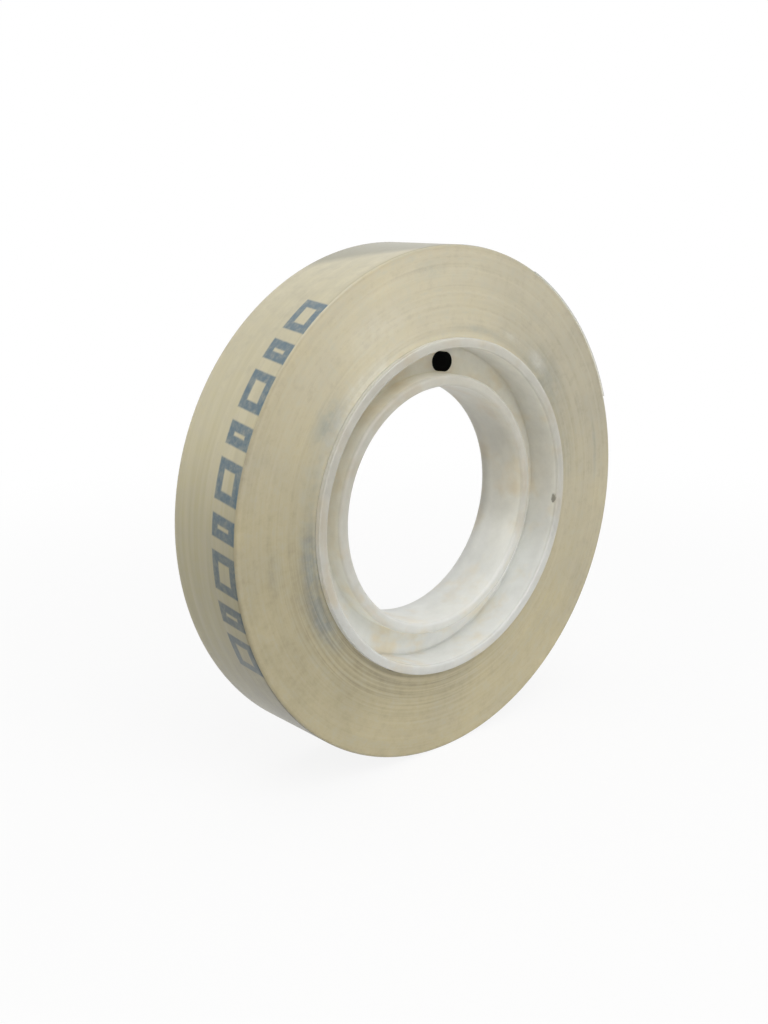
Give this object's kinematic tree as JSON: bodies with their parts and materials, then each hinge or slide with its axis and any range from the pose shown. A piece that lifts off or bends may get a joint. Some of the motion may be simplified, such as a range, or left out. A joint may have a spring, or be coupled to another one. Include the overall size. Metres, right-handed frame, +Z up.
{
  "type": "roll of office tape",
  "caption": "Roll of clear adhesive office tape on a ring-shaped moulded core with a deep channel, with the tape's free end that lifts off the roll.",
  "frame": {"origin": "on the axis of the core's bore, in the middle of the tape's width", "axes": "+Y along the roll's axis, from the front side to the rear side; +Z up with the roll standing on its rim"},
  "size_m": [0.054, 0.0112, 0.054],
  "materials": {
    "core_plastic": "satin moulded polypropylene, slightly translucent white",
    "dot_pigment": "matt black",
    "tape_film": "clear film, yellowish cream where many turns lie together"
  },
  "bodies": {
    "roll": {"core": "core_plastic", "index_dot": "dot_pigment", "tape_winding": "tape_film"},
    "end_1": {"tape_end_1": "tape_film"},
    "end_2": {"tape_end_2": "tape_film"},
    "end_3": {"tape_end_3": "tape_film"},
    "end_4": {"tape_end_4": "tape_film"},
    "end_5": {"tape_end_5": "tape_film"},
    "end_6": {"tape_end_6": "tape_film"}
  },
  "joints": [
    {"name": "end_lift", "type": "hinge", "parent": "roll", "child": "end_1", "pos_m": [0.01268, 0, 0.02384], "axis": [0, -1, 0], "range_deg": [0, 45]},
    {"name": "end_bend_2", "type": "hinge", "parent": "end_1", "child": "end_2", "pos_m": [0.01551, 0, 0.0221], "axis": [0, -1, 0], "range_deg": [0, 13.5]},
    {"name": "end_bend_3", "type": "hinge", "parent": "end_2", "child": "end_3", "pos_m": [0.01812, 0, 0.02002], "axis": [0, -1, 0], "range_deg": [0, 13.5]},
    {"name": "end_bend_4", "type": "hinge", "parent": "end_3", "child": "end_4", "pos_m": [0.02045, 0, 0.01763], "axis": [0, -1, 0], "range_deg": [0, 13.5]},
    {"name": "end_bend_5", "type": "hinge", "parent": "end_4", "child": "end_5", "pos_m": [0.02246, 0, 0.01498], "axis": [0, -1, 0], "range_deg": [0, 13.5]},
    {"name": "end_bend_6", "type": "hinge", "parent": "end_5", "child": "end_6", "pos_m": [0.02414, 0, 0.0121], "axis": [0, -1, 0], "range_deg": [0, 13.5]}
  ],
  "couplings": [
    {"joint": "end_bend_2", "follows": "end_lift", "ratio": 0.3},
    {"joint": "end_bend_3", "follows": "end_lift", "ratio": 0.3},
    {"joint": "end_bend_4", "follows": "end_lift", "ratio": 0.3},
    {"joint": "end_bend_5", "follows": "end_lift", "ratio": 0.3},
    {"joint": "end_bend_6", "follows": "end_lift", "ratio": 0.3}
  ]
}
